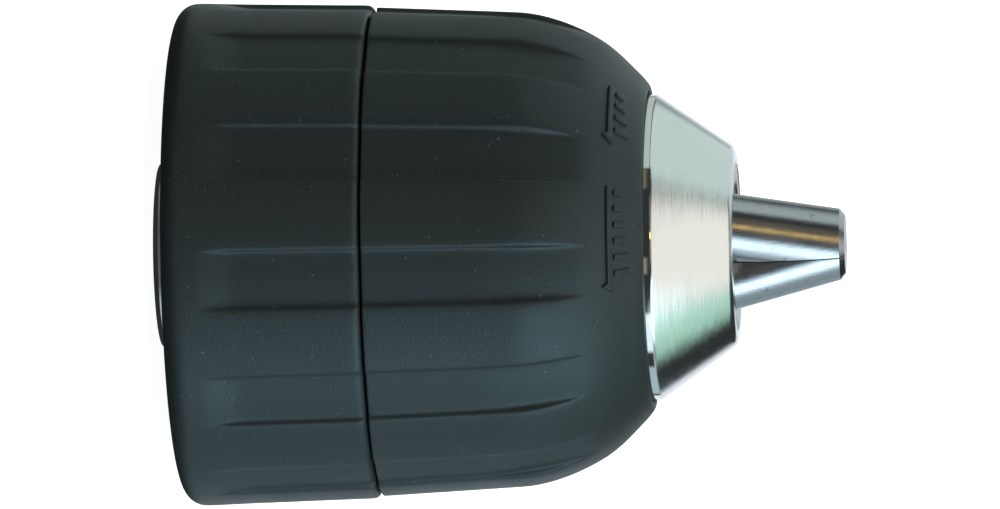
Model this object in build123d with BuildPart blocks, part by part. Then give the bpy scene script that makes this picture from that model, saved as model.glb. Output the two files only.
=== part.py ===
"""Keyless three-jaw drill chuck, two-sleeve pattern, 0.8 to 10 mm capacity.

The chuck's axis is Z and its nose points up. The origin is the centre of the
steel hub's rear face, where the spindle's shoulder seats. The jaws stand closed.
"""

import os
from math import cos, radians, sin, tan

from build123d import *

os.makedirs("parts", exist_ok=True)

# ---- driving dimensions, millimetres ----
# Jaw geometry: each jaw slides along a line that meets the chuck's axis at the apex.
jaw_count = 3
jaw_radius = 3.0
jaw_length = 36.0
jaw_angle = 15.0
jaw_apex_z = 57.1
jaw_tip_z = 57.8
jaw_gap = 0.04  # from each gripping face to the plane midway between two jaws
jaw_edge = 0.3  # half the smallest shank that the closed jaws leave room for
jaw_bore_radius = jaw_radius + 0.04
jaw_bore_lead = 20.0  # how far behind the closed jaw its bore starts
jaw_bore_length = 66.0
jaw_rear_chamfer = 0.35
jaw_tip_chamfer = 0.45

# Jaw thread, measured square to the jaw's axis and along it.
thread_pitch = 1.5
thread_floor = 2.15  # bottom of the jaw's grooves, from the jaw's axis
thread_turns_start = 1.2  # from the jaw's rear end to the middle of the first groove
thread_reach = 25.5  # how far the grooves run from the jaw's rear end
groove_top_width = 1.0
groove_floor_width = 0.6
ridge_height = 2.45  # crest of the nut's ridge, from the jaw's axis
ridge_root = 3.35
ridge_crest_width = 0.35
ridge_root_width = 0.9
ridge_rise = 12.0  # along the chuck's axis
ridge_lead = 3.0  # how far the ridge starts behind the first groove's middle
nut_bore_height = 3.1

# Body
hub_radius = 8.1
hub_chamfer = 0.45
neck_z = 3.4
neck_radius = 10.4
flange_z = 12.0
flange_radius = 16.5
flange_top_z = 20.0
flange_chamfer = 0.5
pilot_radius = 13.2
pilot_top_z = 20.9
core_radius = 9.2
shoulder_z = 31.4
journal_radius = 11.4
journal_top_z = 40.0
nose_seat_radius = 10.6
nose_seat_top_z = 42.4
spigot_radius = 7.0
spigot_z = 47.0
body_top_z = 48.4
spindle_bore_radius = 4.25  # minor radius of a 3/8 inch, 24 per inch thread
spindle_bore_depth = 14.0
spindle_countersink = 0.6
web_top_z = 17.0
screw_hole_radius = 3.25
tool_bore_radius = 5.4
tool_countersink = 0.3

# Sleeves
rear_z = 1.76
rear_wall = 1.6
hub_gap = 0.25
recess_radii = (10.6, 17.6)  # shallow ring in the rear face
recess_depth = 0.45
rear_radius = 21.25
rear_front_radius = 20.82
rear_corner = 1.75
rear_front_z = 18.35
rear_front_chamfer = 0.55
rear_bore_radius = 18.0
insert_z = 12.6
insert_length = 5.0
insert_chamfer = 0.2
front_z = 18.5
front_radius = 20.65
front_edge = 0.15  # chamfer at the front sleeve's rear edge
dome_start_z = 30.5
dome_start_radius = 20.04
dome_end_z = 38.8
dome_end_radius = 16.6
lip_z = 40.95
lip_radius = 14.4
lip_land = 0.7
sleeve_top_z = 41.5
sleeve_bore_radius = 16.6
sleeve_web_z = 31.6
pocket_top_z = 36.8
pocket_inner_radius = 13.2
pocket_outer_radius = 14.9
pocket_shoulder_radius = 16.2
pocket_shoulder_z = 33.6
rib_count = 6
rib_width = 1.4
rib_root = 0.5  # how far the ribs run into the walls
collar_z = 39.3
collar_radius = 13.15
running_gap = 0.1
washer_gap = 0.05

# Flutes of both sleeves
flute_count = 12
flute_angle = 12.0  # azimuth of one flute's middle
flute_width = 4.9
flute_depth = 0.42
flute_side = 0.3  # how much each side wall leans, per millimetre of depth
flute_ramp_z = 5.0
flute_floor_z = 7.7
flute_bend_z = 27.0
flute_end_z = 36.2
flute_end_radius = 18.19
flute_margin = 1.5  # how far the flutes' cutters reach past both ends of the wall
floor_margin = 3.5

# Nut, bearing and drive
nut_top_z = 30.45
nut_radius = 15.0
nut_kerf = 0.1
band_radius = 16.3
band_z = 24.2
lug_z = 26.0
lug_radius = 18.2
lug_root_radius = 15.5
lug_width = 5.0
lug_gap = 0.1
race_inner_radius = 13.3
race_outer_radius = 16.2
race_thickness = 0.8
front_race_thickness = 0.98
race_chamfer = 0.12
ball_radius = 1.0
ball_count = 20
ball_gap = 0.01
cage_thickness = 1.2
cage_clearance = 0.15
cage_pocket_gap = 0.05

# Nose
nose_radius = 12.86
nose_rim_z = 42.05
nose_top_z = 48.65
nose_top_radius = 8.3
nose_bore_radius = 7.1
nose_shell_radius = 7.9
nose_rim_fillet = 0.5
nose_base_chamfer = 0.25
nose_top_fillet = 0.35

# ---- derived sizes ----
slope = radians(jaw_angle)
jaw_forward = Vector(-sin(slope), 0, cos(slope))
jaw_outward = Vector(cos(slope), 0, sin(slope))
jaw_tip_distance = (jaw_apex_z - jaw_tip_z) / cos(slope)
jaw_rear_distance = jaw_tip_distance + jaw_length
jaw_azimuths = [360.0 / jaw_count * i for i in range(jaw_count)]
ball_circle = (race_inner_radius + race_outer_radius) / 2
ball_z = flange_top_z + race_thickness + ball_gap + ball_radius
front_race_z = ball_z + ball_radius + ball_gap
nut_z = front_race_z + front_race_thickness
flute_azimuths = [flute_angle + 360.0 / flute_count * i for i in range(flute_count)]


def jaw_point(distance, height=0.0):
    """A point of the first jaw: its distance behind the apex and height off the axis."""
    apex = Vector(0, 0, jaw_apex_z)
    return apex - jaw_forward * distance + jaw_outward * height


def turned(vector, azimuth):
    """The vector turned about the chuck's axis."""
    return vector.rotate(Axis.Z, azimuth)


def jaw_plane(azimuth, distance):
    """The plane square to a jaw's axis, facing forward, with its x axis outward."""
    return Plane(
        origin=turned(jaw_point(distance), azimuth),
        x_dir=turned(jaw_outward, azimuth),
        z_dir=turned(jaw_forward, azimuth),
    )


def save(builder, name):
    """Labels a finished piece and writes its STEP file."""
    builder.part.label = name
    export_step(builder.part, f"parts/{name}.step")


def turned_from(*points):
    """The solid swept by a closed outline of (radius, z) points about the axis."""
    with BuildPart() as solid:
        with BuildSketch(Plane.XZ):
            with BuildLine():
                Polyline(*points, close=True)
            make_face()
        revolve(axis=Axis.Z)
    return solid.part


def flute_cutters(z_low, z_high, floor_points):
    """The flutes as one part: drafted prisms, less the solid that the floor bounds."""
    half = flute_width / 2
    inner, outer = flute_end_radius - flute_margin, rear_radius + flute_margin
    with BuildPart() as cutters:
        with BuildSketch(Plane.XY.offset(z_low)) as plan:
            for azimuth in flute_azimuths:
                with BuildLine(Rotation(0, 0, azimuth)):
                    Polyline(
                        (inner, -half + flute_side * (front_radius - inner)),
                        (outer, -half - flute_side * (outer - front_radius)),
                        (outer, half + flute_side * (outer - front_radius)),
                        (inner, half - flute_side * (front_radius - inner)),
                        close=True,
                    )
                make_face()
        extrude(amount=z_high - z_low)
        with BuildSketch(Plane.XZ):
            with BuildLine():
                floor_points()
            make_face()
        revolve(axis=Axis.Z, mode=Mode.SUBTRACT)
    return cutters.part


def make_body():
    with BuildPart() as body:
        add(turned_from(
            (0, 0),
            (hub_radius - hub_chamfer, 0),
            (hub_radius, hub_chamfer),
            (hub_radius, neck_z),
            (neck_radius, neck_z),
            (neck_radius, flange_z),
            (flange_radius - flange_chamfer, flange_z),
            (flange_radius, flange_z + flange_chamfer),
            (flange_radius, flange_top_z - flange_chamfer),
            (flange_radius - flange_chamfer, flange_top_z),
            (pilot_radius, flange_top_z),
            (pilot_radius, pilot_top_z),
            (core_radius, pilot_top_z),
            (core_radius, shoulder_z),
            (journal_radius, shoulder_z),
            (journal_radius, journal_top_z),
            (nose_seat_radius, journal_top_z),
            (nose_seat_radius, nose_seat_top_z),
            (spigot_radius, spigot_z),
            (spigot_radius, body_top_z),
            (0, body_top_z),
        ))
        # spindle bore, screw hole in the web, and the bore that a tool's shank enters
        with Locations(Location((0, 0, 0), (180, 0, 0))):
            CounterSinkHole(
                radius=spindle_bore_radius,
                counter_sink_radius=spindle_bore_radius + spindle_countersink,
                depth=spindle_bore_depth,
                counter_sink_angle=90,
            )
        with Locations((0, 0, web_top_z)):
            Hole(radius=screw_hole_radius, depth=web_top_z - spindle_bore_depth)
        with Locations((0, 0, body_top_z)):
            CounterSinkHole(
                radius=tool_bore_radius,
                counter_sink_radius=tool_bore_radius + tool_countersink,
                depth=body_top_z - web_top_z,
                counter_sink_angle=90,
            )
        for azimuth in jaw_azimuths:
            with BuildSketch(jaw_plane(azimuth, jaw_rear_distance + jaw_bore_lead)):
                Circle(jaw_bore_radius)
            extrude(amount=jaw_bore_length, mode=Mode.SUBTRACT)
    return body


def make_jaw(index):
    """A jaw: a round rod with two gripping faces, a narrow edge, and thread grooves."""
    azimuth = jaw_azimuths[index]
    with BuildPart() as jaw:
        with BuildSketch(jaw_plane(0, jaw_rear_distance)):
            Circle(jaw_radius)
        extrude(amount=jaw_length + jaw_radius)
        chamfer(jaw.faces().sort_by(Axis.Z)[0].edges(), length=jaw_rear_chamfer)
        split(bisect_by=Plane.XY.offset(jaw_tip_z), keep=Keep.BOTTOM)
        tip_edge = jaw.faces().sort_by(Axis.Z)[-1].edges()
        chamfer(tip_edge, length=jaw_tip_chamfer)
        for side in (1, -1):
            face_normal = Vector(sin(radians(60)), -side * cos(radians(60)), 0)
            split(bisect_by=Plane(origin=face_normal * jaw_gap, z_dir=face_normal), keep=Keep.TOP)
        split(bisect_by=Plane(origin=(jaw_edge, 0, 0), z_dir=(1, 0, 0)), keep=Keep.TOP)
        groove_plane = Plane(origin=jaw_point(jaw_rear_distance), x_dir=jaw_forward, z_dir=(0, 1, 0))
        first = thread_turns_start + thread_pitch * index / jaw_count
        groove_count = int((thread_reach - first) / thread_pitch) + 1
        depth = jaw_radius - thread_floor
        lean = (groove_top_width - groove_floor_width) / 2 / depth
        top = groove_top_width / 2 + lean * depth
        with BuildSketch(groove_plane):
            for turn in range(groove_count):
                middle = first + thread_pitch * turn
                with BuildLine():
                    Polyline(
                        (middle - groove_floor_width / 2, thread_floor),
                        (middle + groove_floor_width / 2, thread_floor),
                        (middle + top, jaw_radius + depth),
                        (middle - top, jaw_radius + depth),
                        close=True,
                    )
                make_face()
        extrude(amount=jaw_radius + depth, both=True, mode=Mode.SUBTRACT)
    with BuildPart() as placed:
        add(jaw.part.rotate(Axis.Z, azimuth))
    return placed


def thread_ridge():
    """The nut's ridge: a trapezoid carried up a cone along a right-hand helix."""
    start = jaw_rear_distance - thread_turns_start + ridge_lead
    corners = [
        (ridge_root, start + ridge_root_width / 2),
        (ridge_root, start - ridge_root_width / 2),
        (ridge_height, start - ridge_crest_width / 2),
        (ridge_height, start + ridge_crest_width / 2),
    ]
    helices = []
    for off_axis, distance in corners:
        point = jaw_point(distance, off_axis)
        helices.append(
            Helix(
                pitch=thread_pitch,
                height=ridge_rise,
                radius=point.X,
                center=(0, 0, point.Z),
                cone_angle=-jaw_angle,
                mode=Mode.PRIVATE,
            ).edges()[0]
        )
    sides = [Face.make_surface_from_curves(helices[i], helices[(i + 1) % 4]) for i in range(4)]
    caps = []
    for end in (0, 1):
        outline = Wire.make_polygon([helix.position_at(end) for helix in helices], close=True)
        caps.append(Face(outline))
    return Solid(Shell(sides + caps))


def make_nut():
    """The whole nut, before it is split: a ring with a tapered thread."""
    low = nut_z
    bore_low = (jaw_apex_z - low) * tan(slope)
    bore_rise = nut_bore_height / cos(slope)
    bore_high = (jaw_apex_z - nut_top_z) * tan(slope)
    with BuildPart() as nut:
        add(turned_from(
            (bore_low + bore_rise, low),
            (nut_radius, low),
            (nut_radius, nut_top_z),
            (bore_high + bore_rise, nut_top_z),
        ))
        add(thread_ridge())
        with BuildSketch(Plane.XY.offset(low)):
            Circle(nut_radius)
        extrude(amount=nut_top_z - low, mode=Mode.INTERSECT)
    return nut


def make_nut_half(nut, side):
    """One half of the nut, on the side of the split plane that faces +Y or -Y."""
    with BuildPart() as half:
        add(nut.part)
        keep = Keep.TOP if side > 0 else Keep.BOTTOM
        split(bisect_by=Plane.ZX.offset(side * nut_kerf / 2), keep=keep)
    return half


def make_nut_band():
    """The steel band that holds the nut's halves together and carries the drive lugs."""
    with BuildPart() as band:
        with BuildSketch(Plane.XY.offset(band_z)):
            Circle(band_radius)
            Circle(nut_radius, mode=Mode.SUBTRACT)
        extrude(amount=nut_top_z - band_z)
        with BuildSketch(Plane.XY.offset(lug_z)):
            with PolarLocations(0, 3, start_angle=60):
                with Locations(((lug_root_radius + lug_radius) / 2, 0)):
                    Rectangle(lug_radius - lug_root_radius, lug_width)
        extrude(amount=nut_top_z - lug_z)
    return band


def make_race(z, thickness):
    with BuildPart() as race:
        with BuildSketch(Plane.XY.offset(z)):
            Circle(race_outer_radius)
            Circle(race_inner_radius, mode=Mode.SUBTRACT)
        extrude(amount=thickness)
        chamfer(race.edges().filter_by(GeomType.CIRCLE), length=race_chamfer)
    return race


def make_ball(index):
    with BuildPart() as ball:
        with Locations(turned(Vector(ball_circle, 0, ball_z), 360.0 / ball_count * index)):
            Sphere(ball_radius)
    return ball


def make_ball_cage():
    with BuildPart() as cage:
        with BuildSketch(Plane.XY.offset(ball_z - cage_thickness / 2)):
            Circle(race_outer_radius - cage_clearance)
            Circle(race_inner_radius + cage_clearance, mode=Mode.SUBTRACT)
            with PolarLocations(ball_circle, ball_count):
                Circle(ball_radius + cage_pocket_gap, mode=Mode.SUBTRACT)
        extrude(amount=cage_thickness)
    return cage


def make_rear_sleeve():
    """The plastic sleeve that the user holds: fixed to the body."""

    def rear_radius_at(z):
        share = (z - rear_z) / (rear_front_z - rear_z)
        return rear_radius + (rear_front_radius - rear_radius) * share

    def floor():
        Polyline(
            (0, rear_z - 1),
            (rear_radius + 1, rear_z - 1),
            (rear_radius + 1, flute_ramp_z - 2),
            (rear_radius_at(flute_ramp_z), flute_ramp_z),
            (rear_radius_at(flute_floor_z) - flute_depth, flute_floor_z),
            (rear_radius_at(rear_front_z + 1) - flute_depth, rear_front_z + 1),
            (0, rear_front_z + 1),
            close=True,
        )

    with BuildPart() as sleeve:
        with BuildSketch(Plane.XZ) as outline:
            with BuildLine():
                Polyline(
                    (hub_radius + hub_gap, rear_z),
                    (rear_radius, rear_z),
                    (rear_front_radius, rear_front_z),
                    (rear_bore_radius, rear_front_z),
                    (rear_bore_radius, rear_z + rear_wall),
                    (hub_radius + hub_gap, rear_z + rear_wall),
                    close=True,
                )
            make_face()
            corners = outline.vertices().sort_by(Axis.X)[-2:].sort_by(Axis.Z)
            fillet(corners[0], radius=rear_corner)
            chamfer(outline.vertices().group_by(Axis.Z)[-1].sort_by(Axis.X)[-1], length=rear_front_chamfer)
        revolve(axis=Axis.Z)
        add(flute_cutters(rear_z, rear_front_z, floor), mode=Mode.SUBTRACT)
        # shallow ring recess in the rear face
        with BuildSketch(Plane.XY.offset(rear_z)):
            Circle(recess_radii[1])
            Circle(recess_radii[0], mode=Mode.SUBTRACT)
        extrude(amount=recess_depth, mode=Mode.SUBTRACT)
    return sleeve


def make_rear_insert():
    """The steel ring between the rear sleeve and the body's flange."""
    with BuildPart() as ring:
        with BuildSketch(Plane.XY.offset(insert_z)):
            Circle(rear_bore_radius)
            Circle(flange_radius, mode=Mode.SUBTRACT)
        extrude(amount=insert_length)
        chamfer(ring.edges().filter_by(GeomType.CIRCLE), length=insert_chamfer)
    return ring


def make_front_sleeve():
    """The plastic sleeve that the user turns: it drives the nut through its band."""

    def floor():
        # straight from the rear edge, then an arc that runs out on the dome
        taper = (front_radius - dome_start_radius) / (dome_start_z - front_z)
        bend_radius = front_radius - taper * (flute_bend_z - front_z) - flute_depth
        outward = Vector(-taper, 1, 0).normalized()
        straight = Line(
            (bend_radius + taper * (flute_bend_z - front_z + 1), front_z - 1),
            (bend_radius, flute_bend_z),
        )
        run_out = TangentArc((bend_radius, flute_bend_z), (flute_end_radius, flute_end_z), tangent=outward)
        Polyline(
            run_out @ 1,
            (dome_end_radius + floor_margin, flute_end_z + floor_margin / 4),
            (dome_end_radius + floor_margin, sleeve_top_z + 1),
            (0, sleeve_top_z + 1),
            (0, front_z - 1),
            straight @ 0,
        )

    with BuildPart() as sleeve:
        with BuildSketch(Plane.XZ):
            with BuildLine():
                taper = (front_radius - dome_start_radius) / (dome_start_z - front_z)
                Polyline(
                    (sleeve_bore_radius, front_z),
                    (front_radius - front_edge, front_z),
                    (front_radius, front_z + front_edge),
                    (dome_start_radius, dome_start_z),
                )
                TangentArc(
                    (dome_start_radius, dome_start_z),
                    (dome_end_radius, dome_end_z),
                    tangent=Vector(-taper, 1, 0).normalized(),
                )
                Polyline(
                    (dome_end_radius, dome_end_z),
                    (lip_radius, lip_z),
                    (lip_radius - lip_land, sleeve_top_z),
                    (collar_radius, sleeve_top_z),
                    (collar_radius, collar_z),
                    (journal_radius + running_gap, collar_z),
                    (journal_radius + running_gap, sleeve_web_z),
                    (pocket_inner_radius, sleeve_web_z),
                    (pocket_inner_radius, pocket_top_z),
                    (pocket_outer_radius, pocket_top_z),
                    (pocket_shoulder_radius, pocket_shoulder_z),
                    (sleeve_bore_radius, sleeve_web_z),
                    (sleeve_bore_radius, front_z),
                )
            make_face()
        revolve(axis=Axis.Z)
        add(flute_cutters(front_z, flute_end_z + 2, floor), mode=Mode.SUBTRACT)
        # stiffening ribs across the pocket
        rib_reach = sleeve_bore_radius - pocket_inner_radius + 2 * rib_root
        with BuildSketch(Plane.XY.offset(sleeve_web_z + rib_root)):
            with PolarLocations(0, rib_count, start_angle=30):
                with Locations(((pocket_inner_radius + sleeve_bore_radius) / 2, 0)):
                    Rectangle(rib_reach, rib_width)
        extrude(amount=pocket_top_z - sleeve_web_z)
        # slots for the nut band's lugs, open to the rear
        slot_inner = sleeve_bore_radius - 2 * rib_root
        slot_outer = lug_radius + 2 * lug_gap
        with BuildSketch(Plane.XY.offset(front_z)):
            with PolarLocations(0, 3, start_angle=60):
                with Locations(((slot_inner + slot_outer) / 2, 0)):
                    Rectangle(slot_outer - slot_inner, lug_width + 2 * lug_gap)
        extrude(amount=sleeve_web_z - front_z, mode=Mode.SUBTRACT)
    return sleeve


def make_thrust_washer():
    with BuildPart() as washer:
        with BuildSketch(Plane.XY.offset(collar_z + washer_gap)):
            Circle(collar_radius - 2 * washer_gap)
            Circle(journal_radius + washer_gap, mode=Mode.SUBTRACT)
        extrude(amount=journal_top_z - collar_z - 2 * washer_gap)
    return washer


def make_nose_piece():
    """The conical steel cap on the body's front, which keeps the front sleeve on."""
    with BuildPart() as nose:
        with BuildSketch(Plane.XZ) as outline:
            with BuildLine():
                Polyline(
                    (nose_seat_radius, journal_top_z),
                    (nose_radius, journal_top_z),
                    (nose_radius, nose_rim_z),
                    (nose_top_radius, nose_top_z),
                    (nose_bore_radius, nose_top_z),
                    (nose_bore_radius, spigot_z),
                    (nose_shell_radius, spigot_z),
                    (nose_seat_radius, nose_seat_top_z),
                    close=True,
                )
            make_face()
            rim = outline.vertices().sort_by(Axis.X)[-2:].sort_by(Axis.Z)[-1]
            fillet(rim, radius=nose_rim_fillet)
            base = outline.vertices().group_by(Axis.Z)[0].sort_by(Axis.X)[-1]
            chamfer(base, length=nose_base_chamfer)
            top = outline.vertices().group_by(Axis.Z)[-1].sort_by(Axis.X)[-1]
            fillet(top, radius=nose_top_fillet)
        revolve(axis=Axis.Z)
    return nose


def build():
    save(make_body(), "chuck_body")
    save(make_nose_piece(), "nose_piece")
    save(make_rear_sleeve(), "rear_sleeve")
    save(make_rear_insert(), "rear_sleeve_insert")
    save(make_front_sleeve(), "front_sleeve")
    save(make_thrust_washer(), "front_thrust_washer")
    nut = make_nut()
    save(make_nut_half(nut, 1), "nut_half_a")
    save(make_nut_half(nut, -1), "nut_half_b")
    save(make_nut_band(), "nut_band")
    save(make_race(flange_top_z, race_thickness), "rear_bearing_race")
    save(make_race(front_race_z, nut_z - front_race_z), "front_bearing_race")
    save(make_ball_cage(), "ball_cage")
    for index in range(ball_count):
        save(make_ball(index), f"bearing_ball_{index + 1:02d}")
    for index in range(jaw_count):
        save(make_jaw(index), f"jaw_{index + 1}")


build()
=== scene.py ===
"""The finish of a keyless drill chuck: its visible pieces, materials, light and camera.

The chuck's axis is Z, its nose points up, and the origin is the middle of the hub's
rear face. Sizes are in millimetres up to the helpers, which turn them into metres.
"""

from math import atan2, cos, degrees, hypot, pi, radians, sin, sqrt

import bmesh
import bpy
from mathutils import Matrix, Vector


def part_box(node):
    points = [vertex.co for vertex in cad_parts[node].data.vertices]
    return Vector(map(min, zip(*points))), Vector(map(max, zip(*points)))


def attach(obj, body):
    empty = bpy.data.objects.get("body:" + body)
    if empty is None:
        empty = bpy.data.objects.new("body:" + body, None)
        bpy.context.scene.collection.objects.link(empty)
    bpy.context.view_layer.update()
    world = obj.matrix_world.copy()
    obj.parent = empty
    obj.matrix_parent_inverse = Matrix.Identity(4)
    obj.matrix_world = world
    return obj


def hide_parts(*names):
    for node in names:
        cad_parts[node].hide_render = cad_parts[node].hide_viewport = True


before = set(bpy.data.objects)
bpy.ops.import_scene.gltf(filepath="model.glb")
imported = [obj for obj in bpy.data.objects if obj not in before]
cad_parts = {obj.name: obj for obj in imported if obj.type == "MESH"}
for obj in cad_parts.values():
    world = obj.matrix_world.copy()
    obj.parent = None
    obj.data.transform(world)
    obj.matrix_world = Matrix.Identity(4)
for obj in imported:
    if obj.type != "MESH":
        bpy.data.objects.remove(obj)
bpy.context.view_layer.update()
MM = 0.001


# ---------------------------------------------------------------- working in edit mode

def select_only(piece):
    bpy.ops.object.select_all(action="DESELECT")
    piece.select_set(True)
    bpy.context.view_layer.objects.active = piece


def name_new(name):
    """Names the primitive that was just added and settles its place into its mesh."""
    piece = bpy.context.object
    piece.name = name
    piece.data.name = name
    bpy.ops.object.transform_apply(location=True, rotation=True, scale=True)
    return piece


def edit(piece):
    select_only(piece)
    bpy.ops.object.mode_set(mode="EDIT")


def leave():
    bpy.ops.object.mode_set(mode="OBJECT")


def pick(test, kind="VERT"):
    """In edit mode, selects the vertices, edges or faces whose middle passes the test."""
    bpy.ops.mesh.select_mode(type=kind)
    bpy.ops.mesh.select_all(action="DESELECT")
    mesh = bpy.context.edit_object.data
    shape = bmesh.from_edit_mesh(mesh)
    if kind == "VERT":
        for vert in shape.verts:
            vert.select_set(test(vert.co / MM))
    elif kind == "EDGE":
        for edge in shape.edges:
            edge.select_set(test((edge.verts[0].co + edge.verts[1].co) / 2 / MM))
    else:
        for face in shape.faces:
            face.select_set(test(face.calc_center_median() / MM))
    bmesh.update_edit_mesh(mesh)


def outward_normals():
    bpy.ops.mesh.select_mode(type="FACE")
    bpy.ops.mesh.select_all(action="SELECT")
    bpy.ops.mesh.normals_make_consistent(inside=False)


def weld():
    bpy.ops.mesh.select_mode(type="VERT")
    bpy.ops.mesh.select_all(action="SELECT")
    bpy.ops.mesh.remove_doubles(threshold=0.002 * MM)


def start_point(piece):
    """In edit mode, draws a new plane together into the one vertex that an outline starts from."""
    edit(piece)
    bpy.ops.mesh.select_mode(type="VERT")
    bpy.ops.mesh.select_all(action="SELECT")
    bpy.ops.mesh.merge(type="CENTER")


def draw_outline(name, corners, segments=4):
    """Draws a closed outline on the XZ plane by extruding one vertex from corner to corner.

    A corner is (radius, height), or (radius, height, cut), or (radius, height, cut, steps):
    the cut is how far back from the corner its rounding starts, and the steps are how many
    edges the rounding has. The piece is left in edit mode.
    """
    bpy.ops.object.select_all(action="DESELECT")
    first = corners[0]
    bpy.ops.mesh.primitive_plane_add(size=MM, location=(first[0] * MM, 0, first[1] * MM))
    piece = name_new(name)
    start_point(piece)
    for here, there in zip(corners, corners[1:]):
        step = ((there[0] - here[0]) * MM, 0, (there[1] - here[1]) * MM)
        bpy.ops.mesh.extrude_region_move(TRANSFORM_OT_translate={"value": step})
    bpy.ops.mesh.select_all(action="SELECT")
    bpy.ops.mesh.edge_face_add()
    for corner in corners:
        if len(corner) < 3:
            continue
        place = Vector((corner[0], 0, corner[1]))
        pick(lambda co: (co - place).length < 0.001)
        steps = corner[3] if len(corner) > 3 else segments
        bpy.ops.mesh.bevel(offset=corner[2] * MM, offset_type="OFFSET", segments=steps, affect="VERTICES")
    bpy.ops.mesh.select_all(action="SELECT")
    bpy.ops.mesh.delete(type="ONLY_FACE")
    return piece


def spin(angle, steps):
    """Sweeps the selected outline about Z. The far end stays selected."""
    bpy.ops.mesh.spin(steps=steps, angle=radians(angle), center=(0, 0, 0), axis=(0, 0, 1))


def lathe(name, corners, steps=128, segments=4, smooth=35):
    """A turned piece: an outline spun right round."""
    piece = draw_outline(name, corners, segments)
    bpy.ops.mesh.select_all(action="SELECT")
    spin(360, steps)
    weld()
    outward_normals()
    leave()
    shade(piece, smooth)
    return piece


def shade(piece, angle=35):
    select_only(piece)
    bpy.ops.object.shade_smooth_by_angle(angle=radians(angle))


def turn_about_axis(piece, azimuth):
    """Turns a finished mesh about the chuck's axis."""
    select_only(piece)
    piece.rotation_euler = (0, 0, radians(azimuth))
    bpy.ops.object.transform_apply(rotation=True)


def finish_with(piece, kind, **values):
    """Adds a modifier, sets its values and applies it."""
    select_only(piece)
    bpy.ops.object.modifier_add(type=kind)
    modifier = piece.modifiers[-1]
    for key, value in values.items():
        setattr(modifier, key, value)
    bpy.ops.object.modifier_apply(modifier=modifier.name)


def smooth_mesh(piece, level):
    finish_with(piece, "SUBSURF", levels=level, render_levels=level)


def cut(piece, cutter, how="DIFFERENCE"):
    """Cuts one piece with another and removes the cutter."""
    finish_with(piece, "BOOLEAN", object=cutter, operation=how, solver="EXACT")
    bpy.data.objects.remove(cutter)


def join(pieces, name):
    bpy.ops.object.select_all(action="DESELECT")
    for piece in pieces:
        piece.select_set(True)
    bpy.context.view_layer.objects.active = pieces[0]
    bpy.ops.object.join()
    pieces[0].name = pieces[0].data.name = name
    return pieces[0]


def settle(piece, body, material, slot, *nodes):
    """Gives a finished piece its material and its body, and hides the CAD nodes it stands for. The slot is
    not used.
    """
    piece.data.materials.clear()
    piece.data.materials.append(material)
    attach(piece, body)
    if nodes:
        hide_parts(*nodes)


# ---------------------------------------------------------------- sizes

def top_of(node):
    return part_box(node)[1].z / MM


def foot_of(node):
    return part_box(node)[0].z / MM


REAR_Z = foot_of("rear_sleeve")
REAR_FRONT_Z = top_of("rear_sleeve")
FRONT_Z = foot_of("front_sleeve")
SLEEVE_TOP_Z = top_of("front_sleeve")
NOSE_Z = foot_of("nose_piece")
NOSE_TOP_Z = top_of("nose_piece")
NOSE_RIM_Z = 42.15
JAW_TIP_Z = top_of("jaw_1")

NOSE_RADIUS = 12.86
NOSE_TOP_RADIUS = 8.3
NOSE_BORE = 7.1
NOSE_SHELL = (7.9, 47.0)  # the hollow inside the nose, its front and rear corners
NOSE_SEAT = (10.6, 42.4)

REAR_RADIUS = 21.25
REAR_FRONT_RADIUS = 20.82
REAR_BORE = 18.0
REAR_WALL = 1.6
FACE_RECESS = (10.6, 17.6, 0.45)  # inner and outer edge, depth
RECESS_DRAFT = 0.15
HUB_GAP = 0.25

FRONT_RADIUS = 20.65
FRONT_BORE = 16.6
FRONT_WEB_Z = 31.6
POCKET = (13.2, 14.9, 36.8)  # inner and outer edge, top
POCKET_SHOULDER = (16.2, 33.6)
COLLAR = (13.15, 39.3)
COLLAR_GAP = 0.1
LUG_SLOT = (16.0, 18.4, 5.2)  # inner and outer edge, breadth
RIB = (14.9, 34.6)  # its middle
RIB_SIZE = (4.2, 1.4, 5.0)
DOME_START = (20.04, 30.5)
DOME_CORNER = (19.80, 35.23)  # where the side and the flank would meet if the dome were sharp
DOME_CUT = 4.74
DOME_END = (16.6, 38.8)
SHOULDER = (14.4, 40.95)
LIP_LAND = 0.7

FLUTES = 12
FLUTE_ANGLE = 12.0
FLUTE_FLOOR = 12.2  # degrees across a flute's floor
FLUTE_WALL = 1.05  # degrees across each of its walls
WALL_STEPS = 3
FLOOR_STEPS = 4
LAND_STEPS = 5
FLUTE_DEPTH = 0.42
REAR_FLUTED = 20.0  # what lies outside these radii takes part in the flutes
FRONT_FLUTED = 19.6
DOME_FLUTED = 17.0
RAMP = (5.0, 7.7)  # where the rear flutes' floors slope down
BEND_Z = 27.0  # where the front flutes' floors leave the straight
RUN_OUT = (18.19, 36.2)  # where they meet the dome
# Heights of the rings along the sleeves' straight sides, closer where the flutes' floors turn.
REAR_HEIGHTS = (4.4, RAMP[0], 5.6, 6.8, RAMP[1], 8.5, 11.2, 14.2, 16.6)
FRONT_HEIGHTS = (19.1, 20.4, 22.4, 24.6, 26.2, BEND_Z, 28.0, 29.2)

JAWS = 3
JAW_ANGLE = 15.0
JAW_APEX_Z = 57.1
JAW_RADIUS = 3.0
JAW_LENGTH = 36.0
JAW_REAR = JAW_LENGTH + (JAW_APEX_Z - JAW_TIP_Z) / cos(radians(JAW_ANGLE))
JAW_TIP_CHAMFER = 0.45
THREAD_PITCH = 1.5
THREAD_REACH = 25.5
JAW_EDGE = 0.3
JAW_FACE_GAP = 0.04
JAW_BORE_GAP = 0.04
GRIP_ANGLE = 60
FIRST_GROOVE = 1.2
GROOVE_DEPTH = 1.7
GROOVE_LENGTH = 7.0
GROOVE_FLOOR = 0.6
GROOVE_FLARE = 2.33  # its mouth's breadth over its floor's

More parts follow.
